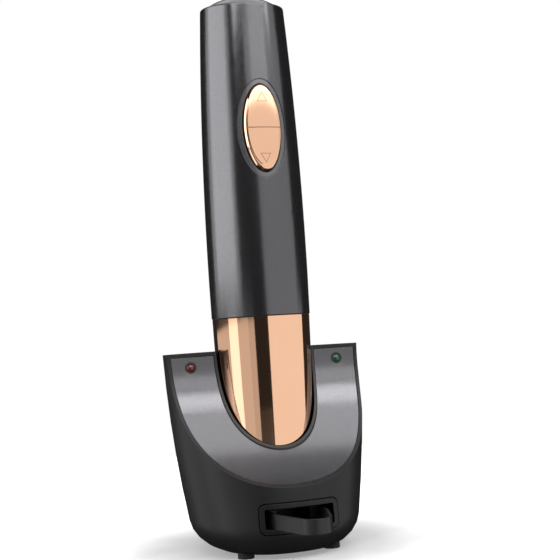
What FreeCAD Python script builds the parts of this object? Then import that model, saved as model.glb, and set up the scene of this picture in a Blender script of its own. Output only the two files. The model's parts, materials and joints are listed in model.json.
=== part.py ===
import FreeCAD, Part
import math
import os

# Cordless electric wine opener standing in its charging stand, with the foil cutter
# parked in the stand's front slot. Millimetres. +Z is up, the opener's axis is the Z axis,
# the front (fascia, button and foil cutter) faces -Y, and z = 0 is the table.

os.makedirs("parts", exist_ok=True)
Vec = FreeCAD.Vector
UP = Vec(0, 0, 1)
ORIGIN = Vec(0, 0, 0)

# ---------------------------------------------------------------- driving sizes: opener
BARREL_RADIUS = 25.4        # opener's largest radius
WIDEST_Z = 149.0            # height where it is largest
BARREL_ARC = 2064.0         # radius of the arc that forms its side
SOCKET_FLOOR_Z = 32.0       # inside floor of the socket
SOCKET_REST_GAP = 0.3       # sleeve above the socket's floor
SEAM_Z = 115.9              # joint between the sleeve and the handle
RIM_Z = 275.4               # top rim of the handle, on the axis
RIM_SLANT = 5.0             # degrees; the rim and cap are lower at the front
CAP_RISE = 6.4              # dome above the rim
CAP_CLEARANCE = 0.3         # plug of the cap to the inside of the handle
CAP_OVERLAP = 0.6           # the dome covers this much of the rim
RIM_ROUND = 1.0
HANDLE_WALL = 2.2
SLEEVE_STEP = 0.3           # the sleeve is this much smaller in radius than the handle
SLEEVE_WALL = 0.8
SEAM_GAP = 0.5              # height of the dark gasket at the seam
NECK_BORE_RADIUS = 16.0     # takes the lip of a wine bottle
NECK_DEPTH = 48.0           # how far the bottle neck goes in before it meets the stop
LIP_STOP_HEIGHT = 3.0
CORK_BORE_RADIUS = 13.0     # chamber that the cork is drawn into
CORK_ROOM = 48.0
CORK_TUBE_WALL = 2.0
RIB_HEIGHT = 0.8            # ribs that stop the cork turning
RIB_WIDTH = 1.2
FLANGE_THICKNESS = 2.0
FLANGE_CLEARANCE = 0.4      # flanges to the inside of the handle
SCREW_RADIUS = 1.0          # screws that hold the cork chamber to the gearbox
SCREW_EDGE = 2.4            # their circle outside the gearbox
SCREW_HEAD_RADIUS = 1.8
SCREW_HEAD_HEIGHT = 1.2

# ---------------------------------------------------------------- driving sizes: worm and gears
WORM_RADIUS = 3.3           # centre line of the spiral
WIRE_RADIUS = 1.25
WORM_PITCH = 9.0
WORM_TIP_CLEARANCE = 8.0    # tip above the opener's bottom edge
HUB_RADIUS = 6.0
HUB_LENGTH = 8.0
GEAR_MODULE = 0.5
SUN_TEETH = 12
PLANET_TEETH = 24
RING_TEETH = SUN_TEETH + 2 * PLANET_TEETH
PLANETS = 3
GEAR_WIDTH = 8.0
ADDENDUM = 0.8              # in modules
DEDENDUM = 1.1              # in modules
BACKLASH = 0.10             # taken off each tooth at the pitch circle
CARRIER_THICKNESS = 3.5
RING_WALL = 2.0
GAP = 0.4                   # between pieces that turn and their neighbours
SHAFT_CLEARANCE = 0.05      # running fit of shafts and pins
PIN_RADIUS = 1.25
MOTOR_PLATE = 3.0           # top of the gearbox, under the motor
MOTOR_RADIUS = 13.9
MOTOR_LENGTH = 38.0
MOTOR_SHAFT_RADIUS = 1.15

# ---------------------------------------------------------------- driving sizes: electrics
CELL_RADIUS = 7.1
CELL_LENGTH = 43.0
CELL_GAP = 0.3
TRAY_RISE = 27.1            # cells above the motor, room for the electronics
TRAY_PLATE = 2.0
BUTTON_Z = 209.1            # middle of the rocker button
BUTTON_HALF_WIDTH = 9.5
BUTTON_HALF_HEIGHT = 21.9
BUTTON_RAISE = 1.3          # proud of the handle
BUTTON_FACE_RADIUS = 48.0   # the button is flatter than the handle across its width
BUTTON_THICKNESS = 4.0
BUTTON_GAP = 0.6            # dark gap round the button
BEZEL_WIDTH = 2.3
BEZEL_SINK = 0.35           # bezel ring below the handle's surface
FIT = 0.1                   # general clearance of fixed pieces
ROCKER_PIN_Y = -19.6
ROCKER_PIN_RADIUS = 1.0
SWITCH_SPACING = 28.0
BOARD_THICKNESS = 1.2
BOARD_FRONT_Y = -16.2

# ---------------------------------------------------------------- driving sizes: stand
FOOT_HEIGHT = 1.6
FOOT_RADIUS = 4.0
FOOT_X = 22.0
FOOT_FRONT_Y = -23.0
FOOT_BACK_Y = 24.0
STAND_TOP_Z = 99.6
HALF_WIDTH_LOW = 38.8       # half width of the stand if its sides ran on down to the table
HALF_WIDTH_MID = 46.9       # half width at mid height
HALF_WIDTH_TOP = 50.7       # half width at the top
FRONT_DEPTH_LOW = 46.5      # half depth to the front, low down
FRONT_DEPTH_TOP = 36.7      # half depth to the front if it ran on up to the top
BACK_DEPTH_LOW = 42.5
BACK_DEPTH_TOP = 46.0
PLAN_POWER = 2.3            # superellipse exponent of the plan
BOTTOM_ROUND = 14.0
STAND_WALL = 2.4
STAND_RIM = 1.7             # rim of the body round the fascia
SCOOP_TOP_Y = -2.3          # front edge of the arms
SCOOP_CURVE = 0.0095        # the scooped front is y = SCOOP_TOP_Y - SCOOP_CURVE * drop^2
FASCIA_THICKNESS = 1.8
FASCIA_SINK = 0.35          # fascia below the body's rim
SOCKET_GAP = 0.95           # sleeve to socket, all round
LINER_WALL = 1.2
LINER_FLOOR = 2.0
COLLAR_DEPTH = 14.0
COLLAR_WALL = 1.6
LAMP_X = 38.8
LAMP_Z = 92.5
LAMP_RADIUS = 2.1
LAMP_RING_WIDTH = 0.7
SLOT_Z = 20.0
SLOT_WIDTH = 34.4
SLOT_HEIGHT = 9.4
SLOT_DEPTH = 30.0
SLOT_LIP = 2.3
SLOT_LIP_PROUD = 0.4
SLOT_GROOVE = 0.4
BAY_WALL = 1.4
POST_X = 12.0
POST_Y = 15.5               # rear posts
FRONT_POST_BACK = 24.0      # front posts behind the slot's mouth
POST_RADIUS = 2.4
SCREW_HOLE = 0.9
CONTACT_X = 18.3
CONTACT_PIN_RADIUS = 1.2
CONTACT_TRAVEL = 1.2
CONTACT_XS = (-CONTACT_X, CONTACT_X)
GUIDE_RADIUS = 3.2          # guides of the charging pins
PAD_TOP = 0.8               # depth of the contact pockets in the opener
JACK_Z = 20.0
JACK_RADIUS = 3.2
JACK_PIN_RADIUS = 1.0
JACK_LENGTH = 13.0          # room kept behind the inlet for the jack's case
CHARGE_BOARD_Z = 8.0
CHARGE_BOARD_THICKNESS = 1.6
CHARGE_BOARD_GAP = 0.6      # charging board to the screw posts beside it
COVER_THICKNESS = 2.2
COVER_HEAD_RADIUS = 2.2     # screws of the bottom cover
COVER_HEAD_TOP = 1.2        # depth of their countersinks
COVER_SCREW_LENGTH = 9.0

# ---------------------------------------------------------------- driving sizes: foil cutter
CUTTER_HEIGHT = 7.0
CUTTER_WALL = 1.5
CUTTER_REACH = 27.0         # sticks out of the slot
CUTTER_NOSE_RADIUS = 8.0
CUTTER_SIDE_GAP = 2.6       # widest point of the cutter to the side of its slot
CUTTER_WAIST = 1.3          # the shoulder is this much narrower than the end
CUTTER_BLOCK = 5.4
CUTTER_BLOCK_LENGTH = 15.0
WHEEL_RADIUS = 3.0
WHEEL_THICKNESS = 0.6
WHEEL_SPACING = 7.4
WHEEL_PIN_RADIUS = 0.75
CUTTER_FLOOR_GAP = 0.3      # cutter above the slot's floor
CUTTER_BACK_GAP = 1.5       # cutter to the back wall of its bay


# ---------------------------------------------------------------- general helpers
def save(name, shape):
    """Write one sub-part and say what it is."""
    kinds = [s for s in shape.Solids]
    print(f"{name:18s} solids {len(kinds):2d}  volume {shape.Volume:10.1f}  valid {shape.isValid()}")
    shape.exportStep(f"parts/{name}.step")


def tube(outer, inner, low, high, x=0.0, y=0.0):
    """Upright ring between two heights."""
    body = Part.makeCylinder(outer, high - low, Vec(x, y, low))
    return body.cut(Part.makeCylinder(inner, high - low + 2, Vec(x, y, low - 1)))


def rod(radius, low, high, x=0.0, y=0.0):
    """Upright cylinder between two heights."""
    return Part.makeCylinder(radius, high - low, Vec(x, y, low))


def block(x0, x1, y0, y1, z0, z1):
    """Box between two corners."""
    return Part.makeBox(x1 - x0, y1 - y0, z1 - z0, Vec(x0, y0, z0))


def fused(shapes):
    """One solid from several that touch."""
    shape = shapes[0]
    for other in shapes[1:]:
        shape = shape.fuse(other)
    return shape.removeSplitter()


def around(count, start=0.0):
    """Angles in radians, evenly spaced round a circle."""
    return [start + 2 * math.pi * i / count for i in range(count)]


def polar(radius, angle):
    return radius * math.cos(angle), radius * math.sin(angle)


def extruded_polygon(points, low, high):
    """Prism from plan points."""
    ring = [Vec(x, y, low) for x, y in points]
    face = Part.Face(Part.makePolygon(ring + ring[:1]))
    return face.extrude(Vec(0, 0, high - low))


# ---------------------------------------------------------------- the opener's barrel shape
def barrel_radius(z):
    """Radius of the opener's side at a height: an arc centred far behind the axis."""
    return BARREL_RADIUS - BARREL_ARC + math.sqrt(BARREL_ARC ** 2 - (z - WIDEST_Z) ** 2)


def barrel(low, high, inset):
    """Solid of revolution under the side arc, made smaller in radius by inset."""
    middle = (low + high) / 2
    side = Part.Arc(Vec(barrel_radius(low) - inset, 0, low),
                    Vec(barrel_radius(middle) - inset, 0, middle),
                    Vec(barrel_radius(high) - inset, 0, high)).toShape()
    bottom = Part.makeLine(Vec(0, 0, low), Vec(barrel_radius(low) - inset, 0, low))
    top = Part.makeLine(Vec(barrel_radius(high) - inset, 0, high), Vec(0, 0, high))
    axis = Part.makeLine(Vec(0, 0, high), Vec(0, 0, low))
    face = Part.Face(Part.Wire([bottom, side, top, axis]))
    return face.revolve(ORIGIN, UP, 360)


def above_rim():
    """Everything above the slanted rim."""
    space = block(-60, 60, -60, 60, RIM_Z, RIM_Z + 60)
    space.rotate(Vec(0, 0, RIM_Z), Vec(1, 0, 0), RIM_SLANT)
    return space


def front_ellipse(half_width, half_height, y_front, y_back):
    """Elliptical prism along Y round the button's middle."""
    ellipse = Part.Ellipse(Vec(0, y_front, BUTTON_Z + half_height),
                           Vec(half_width, y_front, BUTTON_Z),
                           Vec(0, y_front, BUTTON_Z)).toShape()
    return Part.Face(Part.Wire([ellipse])).extrude(Vec(0, y_back - y_front, 0))


# ---------------------------------------------------------------- heights worked out from the sizes
SLEEVE_LOW = SOCKET_FLOOR_Z + SOCKET_REST_GAP
SLEEVE_HIGH = SEAM_Z - SEAM_GAP / 2
HANDLE_LOW = SEAM_Z + SEAM_GAP / 2
LIP_Z = SLEEVE_LOW + NECK_DEPTH
CORK_LOW = LIP_Z + LIP_STOP_HEIGHT
CORK_HIGH = CORK_LOW + CORK_ROOM
HOUSING_LOW = CORK_HIGH
OUTPUT_PLATE_LOW = HOUSING_LOW + FLANGE_THICKNESS + GAP
STAGE_B_LOW = OUTPUT_PLATE_LOW + CARRIER_THICKNESS + GAP
STAGE_B_HIGH = STAGE_B_LOW + GEAR_WIDTH
FIRST_PLATE_LOW = STAGE_B_HIGH + GAP
STAGE_A_LOW = FIRST_PLATE_LOW + CARRIER_THICKNESS + GAP
STAGE_A_HIGH = STAGE_A_LOW + GEAR_WIDTH
HOUSING_TOP_LOW = STAGE_A_HIGH + GAP
MOTOR_LOW = HOUSING_TOP_LOW + MOTOR_PLATE
MOTOR_HIGH = MOTOR_LOW + MOTOR_LENGTH
PITCH_SUN = GEAR_MODULE * SUN_TEETH / 2
PITCH_PLANET = GEAR_MODULE * PLANET_TEETH / 2
PITCH_RING = GEAR_MODULE * RING_TEETH / 2
PLANET_ORBIT = PITCH_SUN + PITCH_PLANET
HOUSING_RADIUS = PITCH_RING + DEDENDUM * GEAR_MODULE + RING_WALL
CELL_LOW = MOTOR_HIGH + TRAY_RISE
CELL_HIGH = CELL_LOW + CELL_LENGTH
STAND_LOW = FOOT_HEIGHT


# ---------------------------------------------------------------- opener: outside pieces
def handle_shell():
    """Barrel tube with a rounded top rim and an elliptical window for the button."""
    outside = barrel(HANDLE_LOW, RIM_Z + 4, 0).cut(above_rim())
    top = max(outside.Faces, key=lambda face: face.CenterOfMass.z)
    outside = outside.makeFillet(RIM_ROUND, top.Edges)
    shell = outside.cut(barrel(HANDLE_LOW - 1, RIM_Z + 5, HANDLE_WALL))
    half_width = BUTTON_HALF_WIDTH + BUTTON_GAP + BEZEL_WIDTH + FIT
    half_height = BUTTON_HALF_HEIGHT + BUTTON_GAP + BEZEL_WIDTH + FIT
    return shell.cut(front_ellipse(half_width, half_height, -BARREL_RADIUS - 5, 0))


def top_cap():
    """Domed cap that plugs the top of the handle, leaning with the rim."""
    plug_radius = barrel_radius(RIM_Z) - HANDLE_WALL - CAP_CLEARANCE
    dome_radius = plug_radius + CAP_OVERLAP
    plug_low = RIM_Z - 2.4
    plug = rod(plug_radius, plug_low, RIM_Z)
    sphere = (dome_radius ** 2 + CAP_RISE ** 2) / (2 * CAP_RISE)
    dome = Part.makeSphere(sphere, Vec(0, 0, RIM_Z + CAP_RISE - sphere))
    dome = dome.common(rod(dome_radius, RIM_Z, RIM_Z + CAP_RISE + 1))
    cap = fused([plug, dome])
    cap.rotate(Vec(0, 0, RIM_Z), Vec(1, 0, 0), RIM_SLANT)
    return cap


def sleeve():
    """Polished metal tube that goes over the bottle neck."""
    outside = barrel(SLEEVE_LOW, SLEEVE_HIGH, SLEEVE_STEP)
    return outside.cut(barrel(SLEEVE_LOW - 1, SLEEVE_HIGH + 1, SLEEVE_STEP + SLEEVE_WALL))


def seam_gasket():
    """Thin dark ring that shows as the line between sleeve and handle."""
    outside = barrel(SLEEVE_HIGH, HANDLE_LOW, SLEEVE_STEP + 0.15)
    inner = barrel_radius(SEAM_Z) - HANDLE_WALL - 1.5
    return outside.cut(rod(inner, SLEEVE_HIGH - 1, HANDLE_LOW + 1))


def neck_guide():
    """Moulded liner of the sleeve, bored for the bottle's lip, with two contact pockets below."""
    liner = barrel(SLEEVE_LOW, LIP_Z, SLEEVE_STEP + SLEEVE_WALL + FIT)
    liner = liner.cut(rod(NECK_BORE_RADIUS, SLEEVE_LOW - 1, LIP_Z + 1))
    mouth = Part.makeCone(NECK_BORE_RADIUS + 1.0, NECK_BORE_RADIUS - 1.0, 2.0, Vec(0, 0, SLEEVE_LOW))
    liner = liner.cut(mouth)
    for x in CONTACT_XS:
        liner = liner.cut(rod(CONTACT_PIN_RADIUS + 0.3, SLEEVE_LOW - 1, SLEEVE_LOW + PAD_TOP, x, 0))
    return liner


def contact_pads():
    """Two charging pads, set flush in the bottom of the neck guide."""
    radius = CONTACT_PIN_RADIUS + 0.2
    pads = [rod(radius, SLEEVE_LOW, SLEEVE_LOW + PAD_TOP, x, 0) for x in CONTACT_XS]
    return Part.makeCompound(pads)


def lip_stop():
    """Ring that the bottle's lip comes up against."""
    outer = barrel(LIP_Z, CORK_LOW, SLEEVE_STEP + SLEEVE_WALL + FIT)
    return outer.cut(rod(CORK_BORE_RADIUS, LIP_Z - 1, CORK_LOW + 1))


def cork_chamber():
    """Tube that the cork is drawn into, with four ribs that stop it turning, and a top flange."""
    chamber = tube(CORK_BORE_RADIUS + CORK_TUBE_WALL, CORK_BORE_RADIUS, CORK_LOW, CORK_HIGH)
    flange_radius = barrel_radius(CORK_HIGH) - HANDLE_WALL - FLANGE_CLEARANCE
    flange = tube(flange_radius, HUB_RADIUS + GAP, CORK_HIGH - FLANGE_THICKNESS, CORK_HIGH)
    ribs = []
    for angle in around(4, math.pi / 4):
        inner, outer = CORK_BORE_RADIUS - RIB_HEIGHT, CORK_BORE_RADIUS + 0.5
        rib = block(inner, outer, -RIB_WIDTH / 2, RIB_WIDTH / 2, CORK_LOW + 2, CORK_HIGH - 3)
        rib.rotate(ORIGIN, UP, math.degrees(angle))
        ribs.append(rib)
    chamber = fused([chamber, flange] + ribs)
    return chamber.cut(screw_holes(CORK_HIGH - FLANGE_THICKNESS, CORK_HIGH))


# ---------------------------------------------------------------- opener: screws through the flanges
SCREW_CIRCLE = HOUSING_RADIUS + SCREW_EDGE


def screw_places():
    return [polar(SCREW_CIRCLE, angle) for angle in around(3, math.pi / 6)]


def screw_holes(low, high):
    holes = [rod(SCREW_RADIUS + FIT, low - 1, high + 1, x, y) for x, y in screw_places()]
    return Part.makeCompound(holes)


def housing_screws():
    """Three screws that hold the cork chamber to the gearbox."""
    screws = []
    under = CORK_HIGH - FLANGE_THICKNESS
    for x, y in screw_places():
        shank = rod(SCREW_RADIUS, under, HOUSING_LOW + FLANGE_THICKNESS, x, y)
        head = rod(SCREW_HEAD_RADIUS, under - SCREW_HEAD_HEIGHT, under, x, y)
        screws.append(fused([head, shank]))
    return Part.makeCompound(screws)


# ---------------------------------------------------------------- gears
def gear_outline(teeth, tip, root, thinning, phase):
    """Plan points of an involute gear; phase turns a tooth's centre away from the +X axis."""
    pitch = GEAR_MODULE * teeth / 2
    base = pitch * math.cos(math.radians(20))
    involute_pitch = math.tan(math.radians(20)) - math.radians(20)
    half_pitch = math.pi / (2 * teeth) - thinning / (2 * pitch)

    def half_angle(radius):
        if radius <= base:
            return half_pitch + involute_pitch
        pressure = math.acos(base / radius)
        return half_pitch + involute_pitch - (math.tan(pressure) - pressure)

    radii = [root, max(base, root), pitch, (pitch + tip) / 2, tip]
    if radii[1] - radii[0] < 0.02:
        radii = radii[1:]
    points = []
    for centre in around(teeth, phase):
        rising = [(r, centre - half_angle(r)) for r in radii]
        falling = [(r, centre + half_angle(r)) for r in reversed(radii)]
        points += [polar(r, a) for r, a in rising + falling]
    return points


def gear(teeth, low, high, phase):
    pitch = GEAR_MODULE * teeth / 2
    tip = pitch + ADDENDUM * GEAR_MODULE
    root = pitch - DEDENDUM * GEAR_MODULE
    return extruded_polygon(gear_outline(teeth, tip, root, BACKLASH, phase), low, high)


PLANET_PHASE = -math.pi / PLANET_TEETH


def planet(angle, low):
    """Planet gear on its orbit, turned so that it meshes with the sun and the ring."""
    x, y = polar(PLANET_ORBIT, angle)
    wheel = gear(PLANET_TEETH, low, low + GEAR_WIDTH, PLANET_PHASE)
    wheel = wheel.cut(rod(PIN_RADIUS + SHAFT_CLEARANCE, low - 1, low + GEAR_WIDTH + 1))
    wheel.translate(Vec(x, y, 0))
    return wheel


def gearbox_housing():
    """Cup with the fixed ring gear inside, closed above by the motor's mounting plate."""
    flange_radius = barrel_radius(HOUSING_LOW) - HANDLE_WALL - FLANGE_CLEARANCE
    outside = fused([rod(HOUSING_RADIUS, HOUSING_LOW, MOTOR_LOW),
                     rod(flange_radius, HOUSING_LOW, HOUSING_LOW + FLANGE_THICKNESS)])
    tip = PITCH_RING + DEDENDUM * GEAR_MODULE
    root = PITCH_RING - ADDENDUM * GEAR_MODULE
    outline = gear_outline(RING_TEETH, tip, root, -BACKLASH, math.pi / RING_TEETH)
    room = extruded_polygon(outline, HOUSING_LOW + FLANGE_THICKNESS, HOUSING_TOP_LOW)
    outside = outside.cut(room)
    floor_top = HOUSING_LOW + FLANGE_THICKNESS
    outside = outside.cut(rod(HUB_RADIUS + SHAFT_CLEARANCE, HOUSING_LOW - 1, floor_top + 1))
    outside = outside.cut(rod(MOTOR_SHAFT_RADIUS + 1.0, HOUSING_TOP_LOW - 1, MOTOR_LOW + 1))
    return outside.cut(screw_holes(HOUSING_LOW, floor_top))


def carrier_pins(low, high):
    return [rod(PIN_RADIUS, low, high, *polar(PLANET_ORBIT, a)) for a in around(PLANETS)]


CARRIER_RADIUS = PITCH_RING - ADDENDUM * GEAR_MODULE - GAP


def first_carrier():
    """Plate with three pins above it and the second stage's sun gear below it."""
    plate = rod(CARRIER_RADIUS, FIRST_PLATE_LOW, FIRST_PLATE_LOW + CARRIER_THICKNESS)
    sun = gear(SUN_TEETH, STAGE_B_LOW, FIRST_PLATE_LOW, 0.0)
    return fused([plate, sun] + carrier_pins(FIRST_PLATE_LOW + CARRIER_THICKNESS, STAGE_A_HIGH))


def output_carrier():
    """Plate with three pins above it and the hub that holds the worm below it."""
    plate = rod(CARRIER_RADIUS, OUTPUT_PLATE_LOW, OUTPUT_PLATE_LOW + CARRIER_THICKNESS)
    hub = rod(HUB_RADIUS, CORK_HIGH - HUB_LENGTH, OUTPUT_PLATE_LOW)
    return fused([plate, hub] + carrier_pins(OUTPUT_PLATE_LOW + CARRIER_THICKNESS, STAGE_B_HIGH))


def motor_rotor():
    """Shaft with the armature and the first sun gear."""
    shaft = rod(MOTOR_SHAFT_RADIUS, STAGE_A_HIGH, MOTOR_HIGH - 1.5)
    sun = gear(SUN_TEETH, STAGE_A_LOW, STAGE_A_HIGH, 0.0)
    armature = rod(MOTOR_RADIUS - 3.0, MOTOR_LOW + 5, MOTOR_HIGH - 6)
    return fused([shaft, sun, armature])


def motor_can():
    """Closed motor case with a clear space for the rotor."""
    can = rod(MOTOR_RADIUS, MOTOR_LOW, MOTOR_HIGH)
    can = can.cut(rod(MOTOR_RADIUS - 1.2, MOTOR_LOW + 2, MOTOR_HIGH - 4))
    return can.cut(rod(MOTOR_SHAFT_RADIUS + SHAFT_CLEARANCE, MOTOR_LOW - 1, MOTOR_HIGH - 1))


def worm():
    """Spiral of round wire, right-handed, running down to a drawn-out point."""
    low = SLEEVE_LOW + WORM_TIP_CLEARANCE + 5
    high = CORK_HIGH - HUB_LENGTH + 3
    helix = Part.makeHelix(WORM_PITCH, high - low, WORM_RADIUS)
    rise = Vec(0, 2 * math.pi * WORM_RADIUS, WORM_PITCH)
    section = Part.makeCircle(WIRE_RADIUS, Vec(WORM_RADIUS, 0, 0), rise)
    spiral = Part.Wire(helix.Edges).makePipeShell([Part.Wire([section])], True, True)
    slope = Vec(0, -rise.y, -rise.z)
    slope.normalize()
    point = Part.makeCone(WIRE_RADIUS, 0.1, 6.0, Vec(WORM_RADIUS, 0, 0), slope)
    shape = spiral.fuse(point)
    shape.translate(Vec(0, 0, low))
    return shape.cut(rod(HUB_RADIUS, CORK_HIGH - HUB_LENGTH, CORK_HIGH))


# ---------------------------------------------------------------- opener: electrics
def cell_places():
    reach = CELL_RADIUS + CELL_GAP / 2
    return [(x, y) for x in (-reach, reach) for y in (-reach, reach)]


def battery_cells():
    """Four round cells side by side, each with its raised terminal."""
    cells = []
    for x, y in cell_places():
        can = rod(CELL_RADIUS, CELL_LOW, CELL_HIGH - 1.0, x, y)
        cells.append(fused([can, rod(2.6, CELL_HIGH - 1.0, CELL_HIGH, x, y)]))
    return Part.makeCompound(cells)


def battery_tray():
    """End plates and central post that hold the cells."""
    wall = HANDLE_WALL + FLANGE_CLEARANCE
    low_plate = rod(barrel_radius(CELL_LOW) - wall - 1.0, CELL_LOW - TRAY_PLATE, CELL_LOW)
    low_plate = low_plate.cut(block(-30, 30, -30, BRIDGE_BACK_Y + GAP, CELL_LOW - 3, CELL_LOW + 1))
    high_plate = rod(barrel_radius(CELL_HIGH) - wall, CELL_HIGH, CELL_HIGH + 1.0)
    post = rod(1.8, CELL_LOW, CELL_HIGH)
    return fused([low_plate, post, high_plate])


def motor_yoke():
    """Ring on top of the motor with two uprights that carry the battery tray."""
    base = rod(MOTOR_RADIUS + 2.0, MOTOR_HIGH, MOTOR_HIGH + TRAY_PLATE)
    board_room = BOARD_FRONT_Y + BOARD_THICKNESS + 0.6
    base = base.cut(block(-30, 30, -30, board_room, MOTOR_HIGH - 1, MOTOR_HIGH + 3))
    legs = [block(x - 2, x + 2, 4, 12, MOTOR_HIGH, CELL_LOW - TRAY_PLATE) for x in (-9, 9)]
    return fused([base] + legs)


def control_board():
    """Upright circuit board behind the button."""
    return block(-9, 9, BOARD_FRONT_Y, BOARD_FRONT_Y + BOARD_THICKNESS, BUTTON_Z - 20, BUTTON_Z + 15.2)


SWITCH_FRONT_Y = BOARD_FRONT_Y - 3.2
PLUNGER_FRONT_Y = SWITCH_FRONT_Y - 0.5


def push_switches():
    """Two push switches, one behind each end of the rocker."""
    switches = []
    for z in (BUTTON_Z - SWITCH_SPACING / 2, BUTTON_Z + SWITCH_SPACING / 2):
        case = block(-3, 3, SWITCH_FRONT_Y, BOARD_FRONT_Y, z - 3, z + 3)
        if z > BUTTON_Z:
            case = block(-3, 3, SWITCH_FRONT_Y, BOARD_FRONT_Y, z - 3, z + 1.2)
        plunger = Part.makeCylinder(1.5, 0.5, Vec(0, PLUNGER_FRONT_Y, z - 0.4), Vec(0, 1, 0))
        switches.append(fused([case, plunger]))
    return Part.makeCompound(switches)


BRIDGE_BACK_Y = BOARD_FRONT_Y - 0.6
BRIDGE_FRONT_Y = BRIDGE_BACK_Y - 1.2
CHEEK_FRONT_Y = ROCKER_PIN_Y - ROCKER_PIN_RADIUS - 0.5


def button_bezel():
    """Elliptical ring round the button, with a bridge and two cheeks for the rocker's pin."""
    half_width = BUTTON_HALF_WIDTH + BUTTON_GAP
    half_height = BUTTON_HALF_HEIGHT + BUTTON_GAP
    y_front = -BARREL_RADIUS - 5
    ring = front_ellipse(half_width + BEZEL_WIDTH, half_height + BEZEL_WIDTH, y_front, BRIDGE_BACK_Y)
    ring = ring.cut(front_ellipse(half_width, half_height, y_front - 1, BRIDGE_BACK_Y + 1))
    ring = ring.common(barrel(BUTTON_Z - 40, BUTTON_Z + 40, BEZEL_SINK))
    reach = half_width + 0.5
    bridge = block(-reach, reach, BRIDGE_FRONT_Y, BRIDGE_BACK_Y, BUTTON_Z - 3, BUTTON_Z + 3)
    low, high = BUTTON_Z - 2, BUTTON_Z + 2
    cheeks = [block(x - 1, x + 1, CHEEK_FRONT_Y, BRIDGE_FRONT_Y, low, high) for x in (-4.5, 4.5)]
    bezel = fused([ring, bridge] + cheeks)
    pin_hole = Part.makeCylinder(ROCKER_PIN_RADIUS, 12, Vec(-6, ROCKER_PIN_Y, BUTTON_Z), Vec(1, 0, 0))
    return bezel.cut(pin_hole)


def rocker_pin():
    return Part.makeCylinder(ROCKER_PIN_RADIUS, 11, Vec(-5.5, ROCKER_PIN_Y, BUTTON_Z), Vec(1, 0, 0))


def rocker_button():
    """Elliptical button, flatter than the handle, with a hinge lug and two legs behind it."""
    pad = front_ellipse(BUTTON_HALF_WIDTH, BUTTON_HALF_HEIGHT, -BARREL_RADIUS - 5, -15)
    wider = BUTTON_FACE_RADIUS - BARREL_RADIUS
    skin = barrel(BUTTON_Z - 40, BUTTON_Z + 40, -wider)
    skin = skin.cut(barrel(BUTTON_Z - 41, BUTTON_Z + 41, BUTTON_THICKNESS - wider))
    skin.translate(Vec(0, wider - BUTTON_RAISE, 0))
    pad = pad.common(skin)
    inner_y = -barrel_radius(BUTTON_Z) + BUTTON_THICKNESS - BUTTON_RAISE
    lug = block(-3, 3, inner_y - 1, ROCKER_PIN_Y, BUTTON_Z - 2, BUTTON_Z + 2)
    lug = lug.fuse(Part.makeCylinder(2.0, 6, Vec(-3, ROCKER_PIN_Y, BUTTON_Z), Vec(1, 0, 0)))
    lug = lug.cut(block(-4, 4, BRIDGE_FRONT_Y - 0.3, -10, BUTTON_Z - 4, BUTTON_Z + 4))
    leg_end = PLUNGER_FRONT_Y - 0.9
    legs = []
    for z in (BUTTON_Z - SWITCH_SPACING / 2 - 0.4, BUTTON_Z + SWITCH_SPACING / 2 - 0.4):
        legs.append(block(-1.2, 1.2, inner_y - 1, leg_end, z - 1.2, z + 1.2))
    rocker = fused([pad, lug] + legs)
    bore_start = Vec(-4, ROCKER_PIN_Y, BUTTON_Z)
    bore = Part.makeCylinder(ROCKER_PIN_RADIUS + SHAFT_CLEARANCE, 8, bore_start, Vec(1, 0, 0))
    return rocker.cut(bore)


# ---------------------------------------------------------------- stand: the body's shape
def half_width(z):
    """Half width of the stand at a height: a parabola through three named widths."""
    t = z / STAND_TOP_Z
    bend = HALF_WIDTH_MID - (HALF_WIDTH_LOW + HALF_WIDTH_TOP) / 2
    return HALF_WIDTH_LOW + (HALF_WIDTH_TOP - HALF_WIDTH_LOW) * t + 4 * bend * t * (1 - t)


def front_depth(z):
    return FRONT_DEPTH_LOW + (FRONT_DEPTH_TOP - FRONT_DEPTH_LOW) * z / STAND_TOP_Z


def back_depth(z):
    return BACK_DEPTH_LOW + (BACK_DEPTH_TOP - BACK_DEPTH_LOW) * z / STAND_TOP_Z


def plan_wire(z, inset):
    """Closed smooth plan of the stand at a height, a superellipse made smaller by inset."""
    points = []
    for angle in around(24):
        c, s = math.cos(angle), math.sin(angle)
        depth = (back_depth(z) if s > 0 else front_depth(z)) - inset
        x = math.copysign(abs(c) ** (2 / PLAN_POWER), c) * (half_width(z) - inset)
        y = math.copysign(abs(s) ** (2 / PLAN_POWER), s) * depth
        points.append(Vec(x, y, z))
    curve = Part.BSplineCurve()
    curve.interpolate(points, PeriodicFlag=True)
    return Part.Wire([curve.toShape()])


def stand_solid(inset, low=None):
    """Solid inside the stand's skin, rounded at the bottom and flat at the top."""
    base = STAND_LOW if low is None else low
    sections = []
    for angle in (90, 72, 54, 36, 18):
        turn = math.radians(angle)
        z = base + BOTTOM_ROUND * (1 - math.sin(turn))
        sections.append(plan_wire(z, inset + BOTTOM_ROUND * (1 - math.cos(turn))))
    first = base + BOTTOM_ROUND
    for i in range(6):
        sections.append(plan_wire(first + (STAND_TOP_Z - first) * i / 5, inset))
    return Part.makeLoft(sections, True, True)


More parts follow.
